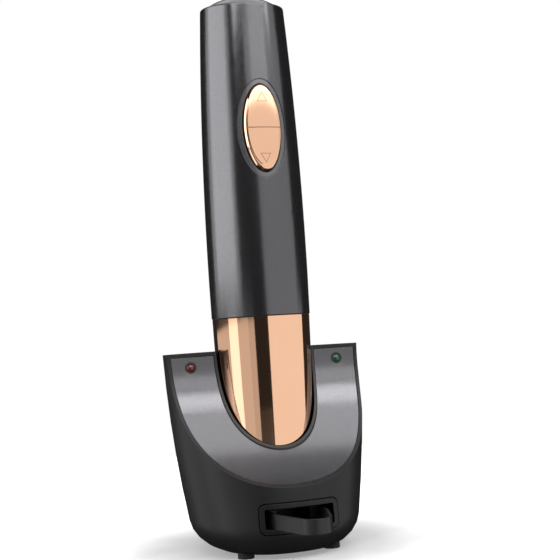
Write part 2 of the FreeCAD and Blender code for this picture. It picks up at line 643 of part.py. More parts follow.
def scoop_front(depth):
    """Everything in front of the scooped face, pushed into the stand by depth."""
    drops = [0, 12, 24, 36, 48, 60, 72, 84]
    points = []
    for drop in drops:
        slope = 2 * SCOOP_CURVE * drop
        length = math.hypot(1, slope)
        y = SCOOP_TOP_Y - SCOOP_CURVE * drop ** 2 + depth / length
        points.append(Vec(-80, y, STAND_TOP_Z - drop - depth * slope / length))
    curve = Part.BSplineCurve()
    curve.interpolate(points)
    top, low = points[0], points[-1]
    above = Vec(-80, top.y, STAND_TOP_Z + 20)
    far_top = Vec(-80, -150, STAND_TOP_Z + 20)
    far_low = Vec(-80, -150, low.z)
    edges = [Part.makeLine(above, top), curve.toShape(), Part.makeLine(low, far_low),
             Part.makeLine(far_low, far_top), Part.makeLine(far_top, above)]
    return Part.Face(Part.Wire(edges)).extrude(Vec(160, 0, 0))


LINER_INSET = SLEEVE_STEP - SOCKET_GAP - LINER_WALL
LINER_BOTTOM = SOCKET_FLOOR_Z - LINER_FLOOR
JACK_FACE_Y = back_depth(JACK_Z) - STAND_WALL


def rounded_slab(width, height, corner, y_front, y_back):
    """Rounded rectangle prism along Y round the slot's middle."""
    slab = block(-width / 2, width / 2, y_front, y_back, SLOT_Z - height / 2, SLOT_Z + height / 2)
    along_y = [e for e in slab.Edges if abs(e.BoundBox.YLength - (y_back - y_front)) < 1e-6]
    return slab.makeFillet(corner, along_y)


def fascia_zone(depth, rim):
    """Space of the fascia plate: in front of the scooped face pushed in by depth, inside the rim."""
    zone = stand_solid(rim).common(scoop_front(depth))
    return zone.common(block(-80, 80, -80, 80, STAND_LOW + 5, STAND_TOP_Z - rim))


def rear_posts():
    """Screw posts below the socket liner's floor."""
    return [(x, POST_Y) for x in (-POST_X, POST_X)]


def front_posts():
    """Screw posts below the cutter bay."""
    return [(x, SLOT_FRONT_Y + FRONT_POST_BACK) for x in (-POST_X, POST_X)]


SLOT_FRONT_Y = -front_depth(SLOT_Z)
SLOT_BACK_Y = SLOT_FRONT_Y + SLOT_DEPTH
BAY_LOW = SLOT_Z - SLOT_HEIGHT / 2 - BAY_WALL


def stand_body():
    """Moulded shell: scooped front, fascia pocket, socket hole with collar, slot and jack holes."""
    body = stand_solid(0).cut(scoop_front(0))
    pocket = FASCIA_THICKNESS + FASCIA_SINK
    hollow = stand_solid(STAND_WALL, STAND_LOW).cut(scoop_front(pocket + STAND_WALL))
    hollow = hollow.common(block(-80, 80, -80, 80, STAND_LOW - 1, STAND_TOP_Z - STAND_WALL))
    collar = barrel(STAND_TOP_Z - COLLAR_DEPTH, STAND_TOP_Z, LINER_INSET - FIT - COLLAR_WALL)
    hollow = hollow.cut(collar)
    body = body.cut(hollow)
    body = body.cut(barrel(LINER_BOTTOM - 5, STAND_TOP_Z + 5, LINER_INSET - FIT))
    body = body.cut(fascia_zone(pocket, STAND_RIM))
    width = SLOT_WIDTH + 2 * (SLOT_LIP + SLOT_GROOVE)
    height = SLOT_HEIGHT + 2 * (SLOT_LIP + SLOT_GROOVE)
    body = body.cut(rounded_slab(width, height, 3.2, SLOT_FRONT_Y - 10, SLOT_FRONT_Y + 14))
    jack_hole = Part.makeCylinder(JACK_RADIUS + 1.6, 20, Vec(0, JACK_FACE_Y - 8, JACK_Z), Vec(0, 1, 0))
    return body.cut(jack_hole)


def lamp_frame(side):
    """Place and direction of a lamp on the fascia."""
    drop = STAND_TOP_Z - LAMP_Z
    slope = 2 * SCOOP_CURVE * drop
    outward = Vec(0, -1, slope)
    outward.normalize()
    surface = Vec(side * LAMP_X, SCOOP_TOP_Y - SCOOP_CURVE * drop ** 2, LAMP_Z)
    return surface - outward * FASCIA_SINK, outward


def u_fascia():
    """U-shaped plate that lies in the pocket of the scooped face."""
    plate = fascia_zone(FASCIA_THICKNESS + FASCIA_SINK, STAND_RIM + FIT)
    plate = plate.cut(scoop_front(FASCIA_SINK))
    plate = plate.cut(barrel(LINER_BOTTOM, STAND_TOP_Z + 5, LINER_INSET - 2 * FIT))
    for side in (-1, 1):
        place, outward = lamp_frame(side)
        start = place - outward * 5
        plate = plate.cut(Part.makeCylinder(LAMP_RADIUS + LAMP_RING_WIDTH + FIT / 2, 10, start, outward))
    return plate


def lamp_lens(side):
    """Domed lens with a short stem."""
    place, outward = lamp_frame(side)
    length = FASCIA_THICKNESS - 2 * FIT
    stem = Part.makeCylinder(LAMP_RADIUS, length, place - outward * length, outward)
    dome = Part.makeSphere(LAMP_RADIUS * 1.25, place - outward * (LAMP_RADIUS * 0.75))
    dome = dome.common(Part.makeCylinder(LAMP_RADIUS, 3, place, outward))
    return fused([stem, dome])


def lamp_rings():
    """Dark rings round both lenses."""
    rings = []
    for side in (-1, 1):
        place, outward = lamp_frame(side)
        length = FASCIA_THICKNESS - 3 * FIT
        start = place - outward * length
        outer = Part.makeCylinder(LAMP_RADIUS + LAMP_RING_WIDTH, length + 0.25, start, outward)
        rings.append(outer.cut(Part.makeCylinder(LAMP_RADIUS, length + 1, start, outward)))
    return Part.makeCompound(rings)


def socket_liner():
    """Cup that the opener stands in; its rim follows the scooped face."""
    liner = barrel(LINER_BOTTOM, STAND_TOP_Z, LINER_INSET)
    liner = liner.cut(barrel(SOCKET_FLOOR_Z, STAND_TOP_Z + 5, LINER_INSET + LINER_WALL))
    liner = liner.cut(scoop_front(0))
    hole = CONTACT_PIN_RADIUS + 2 * SHAFT_CLEARANCE
    for x in CONTACT_XS:
        liner = liner.cut(rod(hole, LINER_BOTTOM - 1, SOCKET_FLOOR_Z + 1, x, 0))
    post_low = STAND_LOW + COVER_THICKNESS
    posts = [tube(POST_RADIUS, SCREW_HOLE, post_low, LINER_BOTTOM, x, y) for x, y in rear_posts()]
    return fused([liner] + posts)


CONTACT_BLOCK_LOW = LINER_BOTTOM - 7.0
CONTACT_PIN_LOW = CONTACT_BLOCK_LOW + 1.0 + CONTACT_TRAVEL + 0.4


def contact_block():
    """Two guides under the socket floor, joined by a bar, each with a blind hole for its pin."""
    guides = [rod(GUIDE_RADIUS, CONTACT_BLOCK_LOW, LINER_BOTTOM, x, 0) for x in CONTACT_XS]
    bar = block(-CONTACT_X, CONTACT_X, -2, 2, CONTACT_BLOCK_LOW, CONTACT_BLOCK_LOW + 2.5)
    body = fused(guides + [bar])
    bore = CONTACT_PIN_RADIUS + SHAFT_CLEARANCE
    for x in CONTACT_XS:
        body = body.cut(rod(bore, CONTACT_BLOCK_LOW + 1, LINER_BOTTOM + 1, x, 0))
    return body


def charge_pin(x):
    """Round-topped sprung pin that meets the opener's pad."""
    top = SLEEVE_LOW - SHAFT_CLEARANCE
    pin = rod(CONTACT_PIN_RADIUS, CONTACT_PIN_LOW, top - 0.6, x, 0)
    nose = Part.makeCone(CONTACT_PIN_RADIUS, CONTACT_PIN_RADIUS - 0.5, 0.6, Vec(x, 0, top - 0.6))
    return fused([pin, nose])


def cover_clearance():
    return BOTTOM_ROUND + STAND_WALL + 2 * FIT


def bottom_cover():
    """Plate that closes the stand from below, with four countersunk screw holes."""
    inset = cover_clearance()
    lower = plan_wire(STAND_LOW, inset)
    upper = plan_wire(STAND_LOW + COVER_THICKNESS, inset)
    cover = Part.makeLoft([lower, upper], True, True)
    for x, y in rear_posts() + front_posts():
        cover = cover.cut(rod(SCREW_HOLE + 0.3, STAND_LOW - 1, STAND_LOW + 5, x, y))
        cover = cover.cut(rod(COVER_HEAD_RADIUS + 0.2, STAND_LOW - 1, STAND_LOW + COVER_HEAD_TOP, x, y))
    return cover


def cover_screws():
    """Four screws: two into the socket liner's posts, two into the cutter bay's posts."""
    screws = []
    for x, y in rear_posts() + front_posts():
        under = STAND_LOW + COVER_HEAD_TOP
        head = rod(COVER_HEAD_RADIUS, STAND_LOW + 0.2, under, x, y)
        shank = rod(SCREW_HOLE - SHAFT_CLEARANCE, under, STAND_LOW + COVER_SCREW_LENGTH, x, y)
        cross = block(x - 1.4, x + 1.4, y - 0.3, y + 0.3, STAND_LOW, STAND_LOW + 0.7)
        screws.append(fused([head, shank]).cut(cross))
    return Part.makeCompound(screws)


def rubber_feet():
    """Four pads under the stand that follow its rounded lower edge."""
    under = stand_solid(0)
    feet = []
    for x in (-FOOT_X, FOOT_X):
        for y in (FOOT_FRONT_Y, FOOT_BACK_Y):
            pad = rod(FOOT_RADIUS, 0, STAND_LOW + 6, x, y).cut(under)
            feet.append(pad.Solids[0])
    return Part.makeCompound(feet)


def cutter_bay():
    """Open-fronted box behind the slot, with its raised lip and two screw posts below."""
    bay_half = SLOT_WIDTH / 2 + BAY_WALL
    bay_high = SLOT_Z + SLOT_HEIGHT / 2 + BAY_WALL
    box = block(-bay_half, bay_half, SLOT_FRONT_Y + 1, SLOT_BACK_Y, BAY_LOW, bay_high)
    lip_width = SLOT_WIDTH + 2 * SLOT_LIP
    lip_height = SLOT_HEIGHT + 2 * SLOT_LIP
    lip = rounded_slab(lip_width, lip_height, 3.0, SLOT_FRONT_Y - 4, SLOT_FRONT_Y + 9)
    lip = lip.cut(stand_solid(STAND_WALL + 0.3))
    posts = [rod(POST_RADIUS, STAND_LOW + COVER_THICKNESS, BAY_LOW + 0.5, x, y) for x, y in front_posts()]
    bay = fused([box, lip] + posts)
    bay = bay.common(stand_solid(-SLOT_LIP_PROUD, STAND_LOW - SLOT_LIP_PROUD))
    opening = rounded_slab(SLOT_WIDTH, SLOT_HEIGHT, 0.8, SLOT_FRONT_Y - 10, SLOT_BACK_Y - BAY_WALL)
    bay = bay.cut(opening)
    for x, y in front_posts():
        bay = bay.cut(rod(SCREW_HOLE, STAND_LOW, BAY_LOW - 0.2, x, y))
    return bay


def power_jack():
    """Round low-voltage inlet in the back, with its centre pin."""
    case = block(-5, 5, JACK_FACE_Y - 11, JACK_FACE_Y - 0.6, JACK_Z - 5.5, JACK_Z + 5.5)
    nose = Part.makeCylinder(JACK_RADIUS + 1.5, 2.4, Vec(0, JACK_FACE_Y - 0.6, JACK_Z), Vec(0, 1, 0))
    jack = fused([case, nose])
    jack = jack.cut(Part.makeCylinder(JACK_RADIUS, 9, Vec(0, JACK_FACE_Y - 7.3, JACK_Z), Vec(0, 1, 0)))
    pin = Part.makeCylinder(JACK_PIN_RADIUS, 8, Vec(0, JACK_FACE_Y - 8, JACK_Z), Vec(0, 1, 0))
    return fused([jack, pin])


def charge_board():
    """Circuit board that stands on the cover between the screw posts, in front of the jack."""
    top = CHARGE_BOARD_Z + CHARGE_BOARD_THICKNESS
    half = POST_X - POST_RADIUS - CHARGE_BOARD_GAP
    board = block(-half, half, -8, JACK_FACE_Y - JACK_LENGTH, CHARGE_BOARD_Z, top)
    floor = STAND_LOW + COVER_THICKNESS
    stand_offs = [rod(2, floor, CHARGE_BOARD_Z, x, y) for x, y in ((-7, 0), (7, 20))]
    parts = [rod(3, top, top + 7.4, x, 12) for x in (-5, 3)]
    parts.append(block(-6, 4, 0, 7, top, top + 2.4))
    return fused([board] + stand_offs + parts)


# ---------------------------------------------------------------- foil cutter
CUTTER_END_HALF_WIDTH = SLOT_WIDTH / 2 - CUTTER_SIDE_GAP
CUTTER_SHOULDER_HALF_WIDTH = CUTTER_END_HALF_WIDTH - CUTTER_WAIST
CUTTER_LOW = SLOT_Z - SLOT_HEIGHT / 2 + CUTTER_FLOOR_GAP
CUTTER_MIDDLE = CUTTER_LOW + CUTTER_HEIGHT / 2
CUTTER_NOSE_Y = SLOT_FRONT_Y - CUTTER_REACH + CUTTER_NOSE_RADIUS
CUTTER_END_Y = SLOT_BACK_Y - BAY_WALL - CUTTER_BACK_GAP


def cutter_outline(inset):
    """Plan of the U: a round nose, flanks that open out to the slot, then two long arms."""
    radius = CUTTER_NOSE_RADIUS - inset
    shoulder = Vec(CUTTER_SHOULDER_HALF_WIDTH - inset, SLOT_FRONT_Y - 1, CUTTER_LOW)
    reach = shoulder.y - CUTTER_NOSE_Y
    distance = math.hypot(reach, shoulder.x)
    tangent = math.atan2(reach, shoulder.x) - math.acos(radius / distance)
    side_x, side_y = polar(radius, tangent)
    end_y = CUTTER_END_Y + (1 if inset else 0)
    tip = Vec(side_x, CUTTER_NOSE_Y + side_y, CUTTER_LOW)
    half = [tip, shoulder, Vec(CUTTER_END_HALF_WIDTH - inset, end_y, CUTTER_LOW)]
    other = [Vec(-point.x, point.y, point.z) for point in half]
    nose = Part.Arc(half[0], Vec(0, CUTTER_NOSE_Y - radius, CUTTER_LOW), other[0]).toShape()
    path = half[:0:-1] + half[:1]
    edges = [Part.makeLine(a, b) for a, b in zip(path, path[1:])]
    edges += [nose] + [Part.makeLine(a, b) for a, b in zip(other, other[1:])]
    edges.append(Part.makeLine(other[-1], half[-1]))
    return Part.Face(Part.Wire(edges)).extrude(Vec(0, 0, CUTTER_HEIGHT))


def wheel_places():
    """Centres of the four cutter wheels, two in each arm."""
    x = CUTTER_END_HALF_WIDTH - WHEEL_RADIUS - 1.4
    rear = CUTTER_END_Y - WHEEL_RADIUS - 0.8
    return [(side * x, rear - step * WHEEL_SPACING) for side in (-1, 1) for step in (0, 1)]


def cutter_frame():
    """Springy U with a thicker block at each end, slotted and bored for the wheels."""
    band = cutter_outline(0).cut(cutter_outline(CUTTER_WALL))
    thick = cutter_outline(0).cut(cutter_outline(CUTTER_BLOCK))
    block_front = CUTTER_END_Y - CUTTER_BLOCK_LENGTH
    ends = block(-30, 30, block_front, CUTTER_END_Y + 1, CUTTER_LOW, CUTTER_LOW + CUTTER_HEIGHT)
    frame = fused([band, thick.common(ends)])
    for x, y in wheel_places():
        slot = WHEEL_THICKNESS / 2 + 0.2
        frame = frame.cut(rod(WHEEL_RADIUS + 0.3, CUTTER_MIDDLE - slot, CUTTER_MIDDLE + slot, x, y))
        frame = frame.cut(rod(WHEEL_PIN_RADIUS, CUTTER_LOW + 1, CUTTER_LOW + CUTTER_HEIGHT + 1, x, y))
    return frame


def wheel_pins():
    low, high = CUTTER_LOW + 1, CUTTER_LOW + CUTTER_HEIGHT
    return Part.makeCompound([rod(WHEEL_PIN_RADIUS, low, high, x, y) for x, y in wheel_places()])


def cutter_wheel(x, y):
    """Thin disc with a sharpened rim."""
    half = WHEEL_THICKNESS / 2
    lower = Part.makeCone(WHEEL_RADIUS - 0.5, WHEEL_RADIUS, half, Vec(x, y, CUTTER_MIDDLE - half))
    upper = Part.makeCone(WHEEL_RADIUS, WHEEL_RADIUS - 0.5, half, Vec(x, y, CUTTER_MIDDLE))
    disc = fused([lower, upper])
    return disc.cut(rod(WHEEL_PIN_RADIUS + SHAFT_CLEARANCE, CUTTER_MIDDLE - 2, CUTTER_MIDDLE + 2, x, y))


# ---------------------------------------------------------------- everything
def main():
    save("stand_body", stand_body())
    save("u_fascia", u_fascia())
    save("socket_liner", socket_liner())
    save("bottom_cover", bottom_cover())
    save("cover_screws", cover_screws())
    save("rubber_feet", rubber_feet())
    save("cutter_bay", cutter_bay())
    save("lamp_red", lamp_lens(-1))
    save("lamp_green", lamp_lens(1))
    save("lamp_rings", lamp_rings())
    save("charge_board", charge_board())
    save("contact_block", contact_block())
    save("power_jack", power_jack())
    save("charge_pin_left", charge_pin(-CONTACT_X))
    save("charge_pin_right", charge_pin(CONTACT_X))

    save("handle_shell", handle_shell())
    save("top_cap", top_cap())
    save("seam_gasket", seam_gasket())
    save("sleeve", sleeve())
    save("neck_guide", neck_guide())
    save("contact_pads", contact_pads())
    save("lip_stop", lip_stop())
    save("cork_chamber", cork_chamber())
    save("housing_screws", housing_screws())
    save("gearbox_housing", gearbox_housing())
    save("motor_can", motor_can())
    save("motor_yoke", motor_yoke())
    save("battery_cells", battery_cells())
    save("battery_tray", battery_tray())
    save("control_board", control_board())
    save("push_switches", push_switches())
    save("button_bezel", button_bezel())
    save("rocker_pin", rocker_pin())
    save("rocker_button", rocker_button())

    save("motor_rotor", motor_rotor())
    save("first_carrier", first_carrier())
    save("output_carrier", output_carrier())
    save("worm", worm())
    for number, angle in enumerate(around(PLANETS), 1):
        save(f"planet_a{number}", planet(angle, STAGE_A_LOW))
        save(f"planet_b{number}", planet(angle, STAGE_B_LOW))

    save("cutter_frame", cutter_frame())
    save("wheel_pins", wheel_pins())
    for number, (x, y) in enumerate(wheel_places(), 1):
        save(f"cutter_wheel_{number}", cutter_wheel(x, y))


main()
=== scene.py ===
# %% [markdown]
# # A cordless wine opener on its charging stand
# The CAD model comes in first. It fixes every size and every moving body, so it is never moved or
# reshaped here. What follows gives it smooth skins, finishes, a studio and a camera.

# %% Load the frame
import json
import math

import bmesh
import bpy
from mathutils import Matrix, Vector


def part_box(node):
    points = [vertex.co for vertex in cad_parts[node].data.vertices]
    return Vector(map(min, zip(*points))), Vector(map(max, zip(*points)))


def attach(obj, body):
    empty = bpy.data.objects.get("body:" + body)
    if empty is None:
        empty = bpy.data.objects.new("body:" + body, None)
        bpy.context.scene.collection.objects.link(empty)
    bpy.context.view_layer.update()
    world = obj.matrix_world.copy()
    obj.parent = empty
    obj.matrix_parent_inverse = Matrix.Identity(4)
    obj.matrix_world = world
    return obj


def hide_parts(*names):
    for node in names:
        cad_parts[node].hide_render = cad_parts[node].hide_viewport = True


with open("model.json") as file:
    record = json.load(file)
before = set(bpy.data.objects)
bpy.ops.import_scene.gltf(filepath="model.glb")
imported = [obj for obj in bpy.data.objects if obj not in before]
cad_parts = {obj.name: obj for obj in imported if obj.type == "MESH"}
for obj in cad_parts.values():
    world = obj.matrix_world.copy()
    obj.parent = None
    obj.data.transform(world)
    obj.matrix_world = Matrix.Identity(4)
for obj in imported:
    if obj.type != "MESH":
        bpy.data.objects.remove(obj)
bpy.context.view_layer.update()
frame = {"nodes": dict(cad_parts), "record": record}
nodes = frame["nodes"]
MM = 0.001

# %% [markdown]
# ## Helpers for materials
# Every finish starts from the Principled shader. The detail comes from small node groups that are
# shared by several finishes: they hand a colour, a roughness and a height to the shader. Patterns
# read Object coordinates, because those are real distances on the piece and stay with it.

# %% Node helpers
def add(tree, kind, **values):
    """Adds a node and sets its properties or its inputs by name."""
    node = tree.nodes.new(kind)
    for key, value in values.items():
        if key in node.inputs:
            node.inputs[key].default_value = value
        else:
            setattr(node, key, value)
    return node


def calc(tree, operation, a, b=None, c=None, clamp=False):
    """A math node; a, b and c are sockets or numbers."""
    node = tree.nodes.new("ShaderNodeMath")
    node.operation = operation
    node.use_clamp = clamp
    for socket, value in zip(node.inputs, (a, b, c)):
        if isinstance(value, bpy.types.NodeSocket):
            tree.links.new(value, socket)
        elif value is not None:
            socket.default_value = value
    return node.outputs[0]


def blend_colour(tree, factor, dark, light):
    """Mixes two colours by a factor socket."""
    node = tree.nodes.new("ShaderNodeMix")
    node.data_type = "RGBA"
    tree.links.new(factor, node.inputs[0])
    for socket, value in ((node.inputs[6], dark), (node.inputs[7], light)):
        if isinstance(value, bpy.types.NodeSocket):
            tree.links.new(value, socket)
        else:
            socket.default_value = (*value, 1)
    return node.outputs[2]


def detail_group(name, inputs):
    """An empty shader group with named inputs and the outputs Color, Roughness and Height."""
    group = bpy.data.node_groups.new(name, "ShaderNodeTree")
    for label, value in inputs.items():
        kind = "NodeSocketColor" if isinstance(value, tuple) else "NodeSocketFloat"
        socket = group.interface.new_socket(label, in_out="INPUT", socket_type=kind)
        socket.default_value = (*value, 1) if isinstance(value, tuple) else value
    for label in ("Color", "Roughness", "Height"):
        kind = "NodeSocketColor" if label == "Color" else "NodeSocketFloat"
        group.interface.new_socket(label, in_out="OUTPUT", socket_type=kind)
    return group, group.nodes.new("NodeGroupInput"), group.nodes.new("NodeGroupOutput")


def noise(tree, scale, detail=3.0, place=None):
    """Noise on Object coordinates, with its scale in cycles per metre."""
    node = add(tree, "ShaderNodeTexNoise", Scale=scale, Detail=detail)
    place = place or tree.nodes.new("ShaderNodeTexCoord").outputs["Object"]
    tree.links.new(place, node.inputs["Vector"])
    return node.outputs[0]


# %% [markdown]
# ## Shared surface effects
# Moulded plastic has a fine etched grain. Metallic paint has flakes that catch the light one by one.
# Plated and polished metal is nearly a mirror, with faint polishing haze and fingerprints.

# %% Moulded grain
def moulded_grain():
    """Etched grain with a slow cloud that makes the tone and the shine uneven."""
    inputs = {"Tint": (0.03, 0.03, 0.03), "Rough": 0.5, "Grain": 2600.0}
    group, given, out = detail_group("moulded_grain", inputs)
    grain = add(group, "ShaderNodeTexNoise", Detail=2.0, Roughness=0.6)
    place = group.nodes.new("ShaderNodeTexCoord")
    group.links.new(place.outputs["Object"], grain.inputs["Vector"])
    group.links.new(given.outputs["Grain"], grain.inputs["Scale"])
    cloud = noise(group, 45, 4)
    lighter = calc(group, "MULTIPLY_ADD", cloud, 0.5, 0.75)
    tone = add(group, "ShaderNodeVectorMath", operation="SCALE")
    group.links.new(given.outputs["Tint"], tone.inputs[0])
    group.links.new(lighter, tone.inputs["Scale"])
    group.links.new(tone.outputs[0], out.inputs["Color"])
    uneven = calc(group, "MULTIPLY_ADD", cloud, 0.12, -0.06)
    fine = calc(group, "MULTIPLY_ADD", grain.outputs[0], 0.10, -0.05)
    rough = calc(group, "ADD", given.outputs["Rough"], calc(group, "ADD", uneven, fine), clamp=True)
    group.links.new(rough, out.inputs["Roughness"])
    group.links.new(grain.outputs[0], out.inputs["Height"])
    return group


grain_group = moulded_grain()
print("group:", grain_group.name)


# %% Metal flakes
def flake_paint():
    """Metallic paint: one cell for each flake, with its own brightness, shine and height."""
    inputs = {"Paint": (0.1, 0.1, 0.1), "Fleck": (0.4, 0.4, 0.4), "Rough": 0.35}
    group, given, out = detail_group("flake_paint", inputs)
    cells = add(group, "ShaderNodeTexVoronoi", Scale=5200.0)
    place = group.nodes.new("ShaderNodeTexCoord")
    group.links.new(place.outputs["Object"], cells.inputs["Vector"])
    split = group.nodes.new("ShaderNodeSeparateColor")
    group.links.new(cells.outputs["Color"], split.inputs[0])
    bright = calc(group, "POWER", split.outputs[0], 7.0)
    tone = blend_colour(group, bright, given.outputs["Paint"], given.outputs["Fleck"])
    group.links.new(tone, out.inputs["Color"])
    cloud = noise(group, 60, 3)
    spread = calc(group, "MULTIPLY_ADD", split.outputs[1], 0.10, -0.05)
    haze = calc(group, "MULTIPLY_ADD", cloud, 0.06, -0.03)
    rough = calc(group, "ADD", given.outputs["Rough"], calc(group, "ADD", spread, haze), clamp=True)
    group.links.new(rough, out.inputs["Roughness"])
    group.links.new(split.outputs[2], out.inputs["Height"])
    return group


flake_group = flake_paint()
print("group:", flake_group.name)


# %% Polished plate
def polished_plate():
    """Bright plate with polishing hairs along the height and faint smears."""
    inputs = {"Metal": (0.9, 0.6, 0.5), "Haze": (0.8, 0.5, 0.4), "Rough": 0.06}
    group, given, out = detail_group("polished_plate", inputs)
    place = group.nodes.new("ShaderNodeTexCoord")
    long_way = add(group, "ShaderNodeMapping", Scale=(1.0, 1.0, 0.06))
    group.links.new(place.outputs["Object"], long_way.inputs["Vector"])
    hairs = noise(group, 5200, 2, long_way.outputs[0])
    smear = noise(group, 38, 5)
    patch = calc(group, "POWER", smear, 3.0)
    tone = blend_colour(group, patch, given.outputs["Metal"], given.outputs["Haze"])
    group.links.new(tone, out.inputs["Color"])
    from_smears = calc(group, "MULTIPLY", patch, 0.09)
    from_hairs = calc(group, "MULTIPLY", hairs, 0.02)
    both = calc(group, "ADD", from_smears, from_hairs)
    rough = calc(group, "ADD", given.outputs["Rough"], both, clamp=True)
    group.links.new(rough, out.inputs["Roughness"])
    group.links.new(hairs, out.inputs["Height"])
    return group


plate_group = polished_plate()
print("group:", plate_group.name)


# %% A finish from a group
def finish_of(name, group, values, bump=0.0, reach=0.0001, edge=0.0, **shader):
    """A material whose colour, roughness and height come from a shared group."""
    mat = bpy.data.materials.new(name)
    mat.use_nodes = True
    tree = mat.node_tree
    principled = tree.nodes["Principled BSDF"]
    for key, value in shader.items():
        principled.inputs[key.replace("_", " ")].default_value = value
    detail = tree.nodes.new("ShaderNodeGroup")
    detail.node_tree = group
    for key, value in values.items():
        detail.inputs[key].default_value = (*value, 1) if isinstance(value, tuple) else value
    tree.links.new(detail.outputs["Color"], principled.inputs["Base Color"])
    tree.links.new(detail.outputs["Roughness"], principled.inputs["Roughness"])
    if bump:
        height = add(tree, "ShaderNodeBump", Strength=bump, Distance=reach)
        tree.links.new(detail.outputs["Height"], height.inputs["Height"])
        tree.links.new(height.outputs[0], principled.inputs["Normal"])
        if edge:
            soft_edge = add(tree, "ShaderNodeBevel", samples=4, Radius=edge)
            tree.links.new(soft_edge.outputs[0], height.inputs["Normal"])
    return mat


# %% [markdown]
# ## The finishes
# The handle, cap and fascia share one charcoal metallic paint. The sleeve and the rocker are plated
# in polished rose gold. The stand is matt black, and its socket and slot are smoother.

# %% Outer finishes
charcoal = finish_of(
    "charcoal_paint", flake_group,
    {"Paint": (0.118, 0.116, 0.122), "Fleck": (0.165, 0.162, 0.175), "Rough": 0.19},
    bump=0.05, reach=0.00004, edge=0.0004, Metallic=0.95, Coat_Weight=0.1, Coat_Roughness=0.15
)
# The bezel is a lighter copy of the charcoal paint: a painted highlight for its bevelled ring catching
# the light.
bezel_lightened_highlight = finish_of(
    "bezel_paint", flake_group,
    {"Paint": (0.13, 0.13, 0.138), "Fleck": (0.18, 0.18, 0.19), "Rough": 0.26},
    bump=0.08, reach=0.00003, edge=0.0003, Metallic=0.7, Coat_Weight=0.3, Coat_Roughness=0.1
)
rose_gold = finish_of(
    "rose_gold_plate", plate_group,
    {"Metal": (0.95, 0.56, 0.36), "Haze": (0.95, 0.62, 0.44), "Rough": 0.045},
    bump=0.02, reach=0.00002, Metallic=1.0
)
matt_black = finish_of(
    "matt_black_moulding", grain_group,
    {"Tint": (0.009, 0.009, 0.0095), "Rough": 0.38, "Grain": 2600.0},
    bump=0.35, reach=0.00006, edge=0.0004, Specular_IOR_Level=0.3
)
socket_black = finish_of(
    "socket_black", grain_group,
    {"Tint": (0.010, 0.010, 0.010), "Rough": 0.45, "Grain": 3000.0},
    bump=0.15, reach=0.00004
)
slot_black = finish_of(
    "slot_black", grain_group,
    {"Tint": (0.007, 0.007, 0.0075), "Rough": 0.36, "Grain": 3200.0},
    bump=0.12, reach=0.00004, edge=0.0004, Specular_IOR_Level=0.3
)
cutter_grey = finish_of(
    "cutter_satin", flake_group,
    {"Paint": (0.011, 0.011, 0.012), "Fleck": (0.02, 0.02, 0.021), "Rough": 0.36},
    bump=0.1, reach=0.00004, edge=0.0004, Specular_IOR_Level=0.35
)
foot_black = finish_of(
    "foot_rubber", grain_group,
    {"Tint": (0.012, 0.012, 0.012), "Rough": 0.8, "Grain": 1800.0},
    bump=0.5, reach=0.0001
)
trim_black = finish_of(
    "black_trim", grain_group,
    {"Tint": (0.008, 0.008, 0.008), "Rough": 0.28, "Grain": 3000.0},
    bump=0.05, reach=0.00003
)
print("outer finishes made")

# %% [markdown]
# ## Finishes of the inside
# These show when the pieces are pulled apart: moulded frames, pale gears, bright steel, brass
# contacts, green boards and the blue wrap of the cells.

# %% Inner finishes
dark_moulding = finish_of(
    "inner_moulding", grain_group,
    {"Tint": (0.06, 0.06, 0.065), "Rough": 0.5, "Grain": 2200.0},
    bump=0.3, reach=0.00006
)
pale_gear = finish_of(
    "gear_acetal", grain_group,
    {"Tint": (0.70, 0.68, 0.62), "Rough": 0.38, "Grain": 2400.0},
    bump=0.1, reach=0.00004, Subsurface_Weight=0.05
)
bright_steel = finish_of(
    "bright_steel", plate_group,
    {"Metal": (0.62, 0.62, 0.63), "Haze": (0.5, 0.5, 0.5), "Rough": 0.18},
    bump=0.1, reach=0.00003, Metallic=1.0
)
contact_brass = finish_of(
    "contact_brass", plate_group,
    {"Metal": (0.83, 0.63, 0.28), "Haze": (0.6, 0.42, 0.2), "Rough": 0.2},
    bump=0.1, reach=0.00003, Metallic=1.0
)
cell_blue = finish_of(
    "cell_wrap", grain_group,
    {"Tint": (0.03, 0.14, 0.33), "Rough": 0.3, "Grain": 900.0},
    bump=0.08, reach=0.00005, Coat_Weight=0.4
)
print("inner finishes made")


# %% Board and lamp finishes
def board_green():
    """Solder mask with copper tracks that show through it."""
    inputs = {"Mask": (0.015, 0.12, 0.05), "Track": (0.03, 0.22, 0.09), "Rough": 0.3}
    group, given, out = detail_group("board_tracks", inputs)
    place = group.nodes.new("ShaderNodeTexCoord")
    bricks = add(group, "ShaderNodeTexBrick", Scale=260.0)
    bricks.inputs["Mortar Size"].default_value = 0.012
    group.links.new(place.outputs["Object"], bricks.inputs["Vector"])
    line = bricks.outputs["Fac"]
    tone = blend_colour(group, line, given.outputs["Mask"], given.outputs["Track"])
    group.links.new(tone, out.inputs["Color"])
    rough = calc(group, "MULTIPLY_ADD", line, 0.1, given.outputs["Rough"])
    group.links.new(rough, out.inputs["Roughness"])
    group.links.new(line, out.inputs["Height"])
    return group


def lens_depth():
    """A tinted lens coloured by facing: a painted glow face on and painted shade at its rim; the
    material says how much a point faces away.
    """
    inputs = {"Deep": (0.1, 0.0, 0.0), "Glow": (0.4, 0.02, 0.02), "Rough": 0.1, "Turned": 0.5}
    group, given, out = detail_group("lens_depth", inputs)
    cloud = noise(group, 900, 2)
    shade = blend_colour(group, given.outputs["Turned"], given.outputs["Glow"], given.outputs["Deep"])
    group.links.new(shade, out.inputs["Color"])
    rough = calc(group, "MULTIPLY_ADD", cloud, 0.08, given.outputs["Rough"])
    group.links.new(rough, out.inputs["Roughness"])
    group.links.new(cloud, out.inputs["Height"])
    return group


